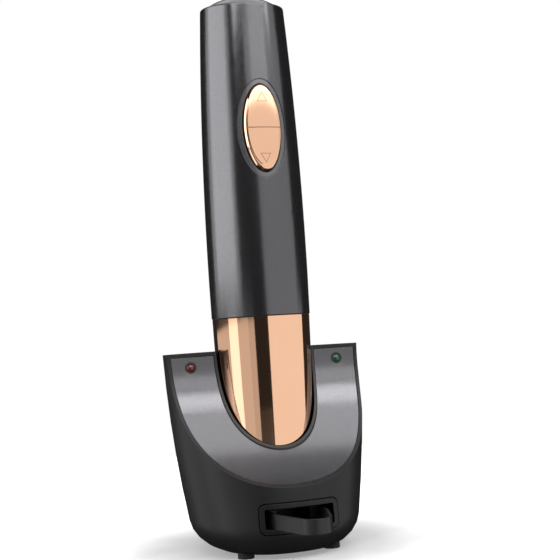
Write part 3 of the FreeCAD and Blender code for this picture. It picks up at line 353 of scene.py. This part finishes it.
green_board = finish_of("board_green", board_green(), {}, bump=0.2, reach=0.00005, Coat_Weight=0.3)
lens_group = lens_depth()
red_lens = finish_of(
    "red_lens", lens_group,
    {"Deep": (0.02, 0.001, 0.001), "Glow": (0.075, 0.004, 0.004)},
    bump=0.05, reach=0.00003, Coat_Weight=0.35
)
green_lens = finish_of(
    "green_lens", lens_group,
    {"Deep": (0.0, 0.012, 0.005), "Glow": (0.002, 0.05, 0.02)},
    bump=0.05, reach=0.00003, Coat_Weight=0.35
)
# Each lens is brighter where it faces the view and darker at its rim: a painted glow and painted shade.
for lens in (red_lens, green_lens):
    turned = add(lens.node_tree, "ShaderNodeLayerWeight", Blend=0.35)
    group_node = next(node for node in lens.node_tree.nodes if node.type == "GROUP")
    lens.node_tree.links.new(turned.outputs["Facing"], group_node.inputs["Turned"])
print("board and lamps made")

# %% Finish by slot
FINISHES = {
    "stand_plastic": matt_black, "socket_plastic": socket_black, "slot_plastic": slot_black,
    "charcoal_paint": charcoal, "bezel_paint": bezel_lightened_highlight, "copper_plate": rose_gold,
    "foot_rubber": foot_black, "red_lens": red_lens, "green_lens": green_lens, "black_trim": trim_black,
    "circuit_board": green_board, "inner_plastic": dark_moulding, "gear_plastic": pale_gear,
    "steel": bright_steel, "contact_brass": contact_brass, "cell_wrap": cell_blue,
    "cutter_plastic": cutter_grey,
}
slot_of = {part["node"]: part["material_slot"] for part in frame["record"]["subparts"]}


def dress(obj, mat):
    """Puts one finish on all of an object."""
    obj.data.materials.clear()
    obj.data.materials.append(mat)


for name, node in nodes.items():
    dress(node, FINISHES[slot_of[name]])
print("dressed", len(nodes), "nodes")


# %% [markdown]
# ## Smooth skins
# A CAD mesh is loose triangles, and where flat bands meet their edges show. A copy of it is merged
# and shaded smooth up to a set angle, so gentle curves flow and real edges stay sharp.

# %% Smooth copies
def shade_smooth(mesh, angle, gap):
    """Joins points closer than the gap and shades the mesh smooth where faces meet below the angle."""
    work = bmesh.new()
    work.from_mesh(mesh)
    bmesh.ops.remove_doubles(work, verts=work.verts, dist=gap)
    for edge in work.edges:
        edge.smooth = len(edge.link_faces) == 2 and edge.calc_face_angle() < math.radians(angle)
    for face in work.faces:
        face.smooth = True
    work.to_mesh(mesh)
    work.free()


def smooth_copy(name):
    """A merged, smooth copy of a CAD node that stands for the node."""
    mesh = nodes[name].data.copy()
    shade_smooth(mesh, angle=32, gap=0.002 * MM)
    if "custom_normal" in mesh.attributes:
        mesh.attributes.remove(mesh.attributes["custom_normal"])
    piece = bpy.data.objects.new(name + "_skin", mesh)
    bpy.context.scene.collection.objects.link(piece)
    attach(piece, body_of[name])
    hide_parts(name)
    print(piece.name, len(mesh.polygons))


body_of = {n: b for b, members in frame["record"]["behaviour"]["bodies"].items() for n in members}
for name in ("stand_body", "u_fascia", "bottom_cover", "cutter_bay"):
    smooth_copy(name)

# %% [markdown]
# ## The rocker
# The button is one plated piece that tilts both ways. Its face is a flat oval crown inside a rolled
# edge, split by a fine groove across the middle. It is easiest as a polar grid: rings of points that
# run from the middle to the edge, with the height worked out for each point.

# %% Rocker sizes from the frame
rock_low, rock_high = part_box("rocker_button")
ROCK_Z = (rock_low[2] + rock_high[2]) / 2
ROCK_HALF = (9.5 * MM, 21.9 * MM)
FACE_RADIUS = 48.0 * MM      # across the width
ARC_RADIUS = 2.064           # along the height
LEAN = 0.029                 # the upper half lies further back
FACE_SETBACK = 0.62 * MM
ROLL_START = 0.90            # share of the radius where the edge starts to roll back
ROLL_DEPTH = 1.0 * MM
ROLL_POWER = 2.4
STEP_START = 0.855           # share of the radius where the raised middle ends
STEP_WIDTH = 0.025
STEP_DEPTH = 0.12 * MM
SIDE_RINGS = ((2.2, 0.0), (2.9, 0.1), (3.0, 0.5))   # depth behind the face and step inwards, mm
RING_CROWDING = 1.6          # above 1, the rings lie closer together towards the edge
FRONT_Y = rock_low[1]
print("rocker middle", round(ROCK_Z, 4), "front", round(FRONT_Y, 4))


# %% Rocker mesh
def smooth_step(t):
    """Runs from 0 to 1 with level ends."""
    t = min(max(t, 0.0), 1.0)
    return t * t * (3 - 2 * t)


def rocker_depth(x, z, t):
    """Depth of a point of the face behind the foremost plane; t is 0 in the middle, 1 at the edge."""
    rise = z - ROCK_Z
    sag = FACE_RADIUS - math.sqrt(FACE_RADIUS ** 2 - x * x)
    tilt = rise * LEAN + rise * rise / (2 * ARC_RADIUS) + FACE_SETBACK
    rolled = ROLL_DEPTH * max(0.0, (t - ROLL_START) / (1 - ROLL_START)) ** ROLL_POWER
    step = STEP_DEPTH * smooth_step((t - STEP_START) / STEP_WIDTH)
    return sag + tilt + rolled + step


def rocker_face():
    """A closed oval pad: face, side wall and back."""
    work = bmesh.new()
    around, rings = 192, 96
    loops = []
    for i in range(rings + 1):
        t = 1 - (1 - i / rings) ** RING_CROWDING
        loop = []
        for k in range(around):
            a = 2 * math.pi * k / around
            x = ROCK_HALF[0] * t * math.cos(a)
            z = ROCK_Z + ROCK_HALF[1] * t * math.sin(a)
            loop.append(work.verts.new((x, FRONT_Y + rocker_depth(x, z, t), z)))
            if i == 0:
                break
        loops.append(loop)
    for depth, inward in SIDE_RINGS:
        loop = []
        for k in range(around):
            a = 2 * math.pi * k / around
            x = (ROCK_HALF[0] - inward * MM) * math.cos(a)
            z = ROCK_Z + (ROCK_HALF[1] - inward * MM) * math.sin(a)
            base = rocker_depth(x, z, 0.5)
            loop.append(work.verts.new((x, FRONT_Y + base + depth * MM, z)))
        loops.append(loop)
    for k in range(around):
        n = (k + 1) % around
        work.faces.new((loops[0][0], loops[1][k], loops[1][n]))
        for low_loop, high_loop in zip(loops[1:], loops[2:]):
            work.faces.new((low_loop[k], high_loop[k], high_loop[n], low_loop[n]))
    work.faces.new(loops[-1][::-1])
    bmesh.ops.recalc_face_normals(work, faces=work.faces)
    for face in work.faces:
        face.smooth = len(face.verts) < 5
    mesh = bpy.data.meshes.new("rocker_face")
    work.to_mesh(mesh)
    work.free()
    obj = bpy.data.objects.new("rocker_face", mesh)
    bpy.context.scene.collection.objects.link(obj)
    return obj


pad = rocker_face()
print("rocker pad", len(pad.data.polygons))

# %% [markdown]
# ## Marks on the rocker
# Two small triangles and one line are engraved in the plate. A line that follows a path is a job for
# Geometry Nodes: a three-sided circle becomes a curve, a thin profile is swept along it, and the
# triangle is instanced above and below the middle. The result is only a cutter, which a Boolean
# takes out of the pad.


# %% Geometry Nodes tree for the marks
CUT_DEPTH = 1.2 * MM


def marks_tree():
    """Triangles at both ends of the rocker and a bar across its middle, as one mesh to cut with."""
    tree = bpy.data.node_groups.new("rocker_marks", "GeometryNodeTree")
    sizes = {"Triangle radius": 2.9, "Line width": 0.40, "Reach up": 14.6, "Line length": 24.0}
    for label, value in sizes.items():
        socket = tree.interface.new_socket(label, in_out="INPUT", socket_type="NodeSocketFloat")
        socket.default_value = value * MM
    tree.interface.new_socket("Metal", in_out="INPUT", socket_type="NodeSocketMaterial")
    tree.interface.new_socket("Mesh", in_out="OUTPUT", socket_type="NodeSocketGeometry")
    given, out = tree.nodes.new("NodeGroupInput"), tree.nodes.new("NodeGroupOutput")
    link = tree.links.new
    ring = add(tree, "GeometryNodeMeshCircle", Vertices=3)
    link(given.outputs["Triangle radius"], ring.inputs["Radius"])
    path = tree.nodes.new("GeometryNodeMeshToCurve")
    link(ring.outputs[0], path.inputs[0])
    profile = add(tree, "GeometryNodeCurvePrimitiveQuadrilateral")
    link(given.outputs["Line width"], profile.inputs["Width"])
    profile.inputs["Height"].default_value = CUT_DEPTH
    sweep = tree.nodes.new("GeometryNodeCurveToMesh")
    sweep.inputs["Fill Caps"].default_value = True
    link(path.outputs[0], sweep.inputs["Curve"])
    link(profile.outputs[0], sweep.inputs["Profile Curve"])
    ends = add(tree, "GeometryNodeMeshLine", Count=2)
    drop = tree.nodes.new("ShaderNodeCombineXYZ")
    link(calc(tree, "MULTIPLY", given.outputs["Reach up"], -1), drop.inputs["Z"])
    link(drop.outputs[0], ends.inputs["Start Location"])
    gap = tree.nodes.new("ShaderNodeCombineXYZ")
    link(calc(tree, "MULTIPLY", given.outputs["Reach up"], 2), gap.inputs["Z"])
    link(gap.outputs[0], ends.inputs["Offset"])
    number = tree.nodes.new("GeometryNodeInputIndex")
    half_turn = calc(tree, "MULTIPLY_ADD", number.outputs[0], math.pi, math.pi / 2)
    turn = tree.nodes.new("ShaderNodeCombineXYZ")
    turn.inputs["X"].default_value = math.pi / 2
    link(half_turn, turn.inputs["Y"])
    place = tree.nodes.new("GeometryNodeInstanceOnPoints")
    link(ends.outputs[0], place.inputs["Points"])
    link(sweep.outputs[0], place.inputs["Instance"])
    link(turn.outputs[0], place.inputs["Rotation"])
    bar = add(tree, "GeometryNodeMeshCube")
    bar.inputs["Vertices X"].default_value = 41
    size = tree.nodes.new("ShaderNodeCombineXYZ")
    link(given.outputs["Line length"], size.inputs["X"])
    size.inputs["Y"].default_value = CUT_DEPTH
    link(given.outputs["Line width"], size.inputs["Z"])
    link(size.outputs[0], bar.inputs["Size"])
    join = tree.nodes.new("GeometryNodeJoinGeometry")
    link(place.outputs[0], join.inputs[0])
    link(bar.outputs[0], join.inputs[0])
    real = tree.nodes.new("GeometryNodeRealizeInstances")
    paint = tree.nodes.new("GeometryNodeSetMaterial")
    link(join.outputs[0], real.inputs[0])
    link(real.outputs[0], paint.inputs[0])
    link(given.outputs["Metal"], paint.inputs["Material"])
    link(paint.outputs[0], out.inputs[0])
    return tree


# %% Cut the marks
GROOVE_DEPTH = 0.16 * MM
CUTTER_RISE = 0.8 * MM       # how far the cutter stands out in front of the face
FOLLOW_X = 9 * MM            # the cutter follows the face's curve up to here
FOLLOW_SHARE = 0.8           # and up to this share of the radius, short of the rolled edge


def plain_mesh(obj):
    """Turns an object with modifiers into the plain mesh that they make."""
    seen_by = bpy.context.evaluated_depsgraph_get()
    mesh = bpy.data.meshes.new_from_object(obj.evaluated_get(seen_by))
    obj.modifiers.clear()
    obj.data = mesh
    return obj


def set_input(modifier, label, value):
    """Sets a modifier's input by the identifier of the socket with that name."""
    for item in modifier.node_group.interface.items_tree:
        if item.name == label and item.in_out == "INPUT":
            modifier[item.identifier] = value


# The walls of the engraved marks get a much darker copper: painted shade inside the grooves.
engraved = finish_of(
    "groove_painted_shade", plate_group,
    {"Metal": (0.30, 0.15, 0.09), "Haze": (0.2, 0.1, 0.06), "Rough": 0.5},
    bump=0.02, reach=0.00002, Metallic=1.0
)
marks = bpy.data.objects.new("marks", bpy.data.meshes.new("marks"))
bpy.context.scene.collection.objects.link(marks)
engraver = marks.modifiers.new("marks", "NODES")
engraver.node_group = marks_tree()
set_input(engraver, "Metal", engraved)
plain_mesh(marks)
for vert in marks.data.vertices:
    x = min(max(vert.co.x, -FOLLOW_X), FOLLOW_X)
    t = min(math.hypot(vert.co.x / ROCK_HALF[0], vert.co.z / ROCK_HALF[1]), FOLLOW_SHARE)
    surface = FRONT_Y + rocker_depth(x, vert.co.z + ROCK_Z, t)
    vert.co.y = surface + (GROOVE_DEPTH if vert.co.y > 0 else -CUTTER_RISE)
    vert.co.z += ROCK_Z
dress(pad, rose_gold)
cut = pad.modifiers.new("engrave", "BOOLEAN")
cut.operation = "DIFFERENCE"
cut.solver = "EXACT"
# The cutter passes its darker copper to the groove walls, which paints the shade in the grooves.
cut.material_mode = "TRANSFER"
cut.object = marks
rocker = plain_mesh(pad)
bpy.data.objects.remove(marks)
shade_smooth(rocker.data, angle=35, gap=0.001 * MM)
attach(rocker, "rocker")
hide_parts("rocker_button")
print("rocker face", len(rocker.data.polygons))

# %% [markdown]
# ## Camera
# The camera stands left of the front at the height of the sleeve. A long lens keeps the sides of
# the tall handle nearly parallel. Three small turns aim it, and a matrix of its own three
# directions states them without any doubt about their order.

# %% Camera
bpy.context.scene.view_settings.view_transform = "Standard"
VIEW_ANGLE = -0.298          # radians round the object, from the front towards the left
DISTANCE = 0.575
CAMERA_HEIGHT = 0.1037
PITCH, YAW, ROLL = 0.053, -0.0192, -0.0646
SENSOR, LENS = 36.0, 72.12857   # millimetres
camera_data = bpy.data.cameras.new("camera")
camera = bpy.data.objects.new("camera", camera_data)
bpy.context.scene.collection.objects.link(camera)
bpy.context.scene.camera = camera
camera.location = (DISTANCE * math.sin(VIEW_ANGLE), -DISTANCE * math.cos(VIEW_ANGLE), CAMERA_HEIGHT)
camera_data.sensor_width = SENSOR
camera_data.lens = LENS
heading = VIEW_ANGLE + YAW
level = math.cos(PITCH)
forward = Vector((-math.sin(heading) * level, math.cos(heading) * level, math.sin(PITCH)))
right0 = Vector((math.cos(heading), math.sin(heading), 0))
up0 = right0.cross(forward)
right = math.cos(ROLL) * right0 + math.sin(ROLL) * up0
up = -math.sin(ROLL) * right0 + math.cos(ROLL) * up0
turned = Matrix((right, up, -forward)).transposed().to_4x4()
camera.matrix_world = Matrix.Translation(camera.location) @ turned
print("lens", round(camera_data.lens, 1))

# %% [markdown]
# ## Lights
# The polished sleeve mirrors the room, so the lights are soft boxes: tall ones on the left and on
# the right, with a dark gap between them that gives the metal its contrast. The bands above light
# the scooped fascia, whose slope mirrors a higher part of the room the further down one looks.

# %% Light boxes
def soft_box(name, azimuth, elevation, distance, width, height, glow, aim):
    """An area light of a set brightness, at an azimuth and elevation in degrees from its aim."""
    data = bpy.data.lights.new(name, "AREA")
    data.shape = "RECTANGLE"
    data.size, data.size_y = width, height
    data.energy = glow * math.pi * width * height
    obj = bpy.data.objects.new(name, data)
    a, e = math.radians(azimuth), math.radians(elevation)
    way = Vector((math.sin(a) * math.cos(e), -math.cos(a) * math.cos(e), math.sin(e)))
    obj.location = Vector(aim) + way * distance
    obj.rotation_mode = "QUATERNION"
    obj.rotation_quaternion = way.to_track_quat("Z", "Y")
    obj.visible_camera = False
    bpy.context.scene.collection.objects.link(obj)


def spread(degrees, distance):
    """Width of a flat box that spans an angle at a distance."""
    return 2 * distance * math.tan(math.radians(degrees / 2))


FACING = math.degrees(VIEW_ANGLE)


def standing_box(name, near, far, distance, low, high, glow):
    """A soft box that spans two azimuths in degrees and two heights in metres."""
    middle = (near + far) / 2
    width = spread(abs(far - near), distance)
    soft_box(name, middle, 0, distance, width, high - low, glow, aim=(0, 0, (low + high) / 2))


standing_box("left_fade", FACING - 16, FACING - 31, 0.96, -0.50, 0.10, 0.52)
standing_box("left_low", FACING - 31, FACING - 132, 0.95, -0.50, 0.10, 0.62)
standing_box("left_low_core", FACING - 57, FACING - 82, 0.93, -0.50, 0.12, 0.95)
standing_box("left_high", FACING - 40, FACING - 118, 0.90, 0.13, 0.95, 1.15)
standing_box("left_high_core", FACING - 48, FACING - 105, 0.88, 0.16, 0.90, 1.6)
standing_box("right_low", FACING + 16, FACING + 112, 1.0, -0.50, 0.15, 0.92)
standing_box("right_high", FACING + 14, FACING + 98, 1.0, 0.15, 1.2, 0.85)
soft_box("low_band", 12, 28, 1.15, 1.1, 0.22, 1.2, aim=(0, 0, 0.08))
soft_box("high_band", 8, 45, 1.1, 2.0, 0.28, 4.2, aim=(0, 0, 0.08))
soft_box("overhead", 6, 66, 1.1, 1.8, 0.44, 2.4, aim=(0, 0, 0.06))
soft_box("zenith", 0, 84, 1.1, 1.4, 0.26, 0.55, aim=(0, 0, 0.06))
soft_box("past_zenith", 180, 79, 1.1, 1.2, 0.36, 0.12, aim=(0, 0, 0.06))
soft_box("back_top", 172, 58, 1.0, 1.0, 0.7, 1.1, aim=(0, 0, 0.25))
print("lights made")


# %% [markdown]
# ## Room and floor
# The camera sees a white room, but mirrors see a nearly dark one, so that only the soft boxes show in
# the metal. The paper on the floor glows by itself, which keeps it white, and its glow is weaker round
# the stand: a painted shadow that deepens the soft shadow the lights cast there. A black flag in front,
# seen by mirrors alone, keeps the middle of the sleeve dark.

# %% Room and floor
world = bpy.data.worlds.new("studio_air")
bpy.context.scene.world = world
world.use_nodes = True
air = world.node_tree
sky = air.nodes["Background"]
seen = add(air, "ShaderNodeBackground", Color=(1, 1, 1, 1), Strength=1.0)
sky.inputs["Color"].default_value = (0.025, 0.025, 0.025, 1)
path = air.nodes.new("ShaderNodeLightPath")
pick = air.nodes.new("ShaderNodeMixShader")
air.links.new(path.outputs["Is Camera Ray"], pick.inputs[0])
air.links.new(sky.outputs[0], pick.inputs[1])
air.links.new(seen.outputs[0], pick.inputs[2])
air.links.new(pick.outputs[0], air.nodes["World Output"].inputs["Surface"])


def flat_fan(name, inner, outer, start, end, z, steps=96):
    """A flat sector of a ring round the object, by radii in metres and azimuths in degrees."""
    points, faces = [], []
    for i in range(steps + 1):
        a = math.radians(start + (end - start) * i / steps)
        points += [(r * math.sin(a), -r * math.cos(a), z) for r in (inner, outer)]
        if i:
            faces.append((2 * i - 2, 2 * i - 1, 2 * i + 1, 2 * i))
    mesh = bpy.data.meshes.new(name)
    mesh.from_pydata(points, [], faces)
    obj = bpy.data.objects.new(name, mesh)
    bpy.context.scene.collection.objects.link(obj)
    return obj


SHADE_INNER, SHADE_OUTER = 0.045, 0.125   # radii of the painted shadow: between them the paper's glow grows brighter


def glow_with_painted_shadow():
    """Paper that glows as if lit evenly from below, and glows less where the object stands: a painted
    shadow.
    """
    inputs = {"Painted_shadow": (0.30, 0.30, 0.30), "Far": (1.1, 1.1, 1.1)}
    group, given, out = detail_group("glow_with_painted_shadow", inputs)
    place = group.nodes.new("ShaderNodeTexCoord")
    radius = add(group, "ShaderNodeVectorMath", operation="LENGTH")
    group.links.new(place.outputs["Object"], radius.inputs[0])
    reach = add(group, "ShaderNodeMapRange", interpolation_type="SMOOTHSTEP")
    group.links.new(radius.outputs["Value"], reach.inputs["Value"])
    reach.inputs["From Min"].default_value = SHADE_INNER
    reach.inputs["From Max"].default_value = SHADE_OUTER
    tone = blend_colour(group, reach.outputs[0], given.outputs["Painted_shadow"], given.outputs["Far"])
    group.links.new(tone, out.inputs["Color"])
    out.inputs["Roughness"].default_value = 0.5
    return group


floor = flat_fan("floor", 0.0, 0.5, 0, 360, 0.0)
floor_paper = finish_of(
    "pale_floor", grain_group,
    {"Tint": (0.66, 0.66, 0.66), "Rough": 0.3, "Grain": 300.0},
)
floor_shader = floor_paper.node_tree.nodes["Principled BSDF"]
paper_glow_and_shadow = floor_paper.node_tree.nodes.new("ShaderNodeGroup")
paper_glow_and_shadow.node_tree = glow_with_painted_shadow()
# The glow is weaker round the stand, which paints a shadow on the paper.
floor_paper.node_tree.links.new(paper_glow_and_shadow.outputs["Color"], floor_shader.inputs["Emission Color"])
floor_shader.inputs["Emission Strength"].default_value = 1.0
floor.data.materials.append(floor_paper)

flag = flat_fan("black_flag", 0.10, 0.52, FACING - 16, FACING + 13, 0.003)
flag_cloth = bpy.data.materials.new("flag_cloth")
flag_cloth.use_nodes = True
flag_cloth.node_tree.nodes["Principled BSDF"].inputs["Base Color"].default_value = (0.01, 0.01, 0.01, 1)
flag.data.materials.append(flag_cloth)
flag.visible_camera = flag.visible_shadow = flag.visible_diffuse = False
floor.visible_glossy = False
print("floor made")
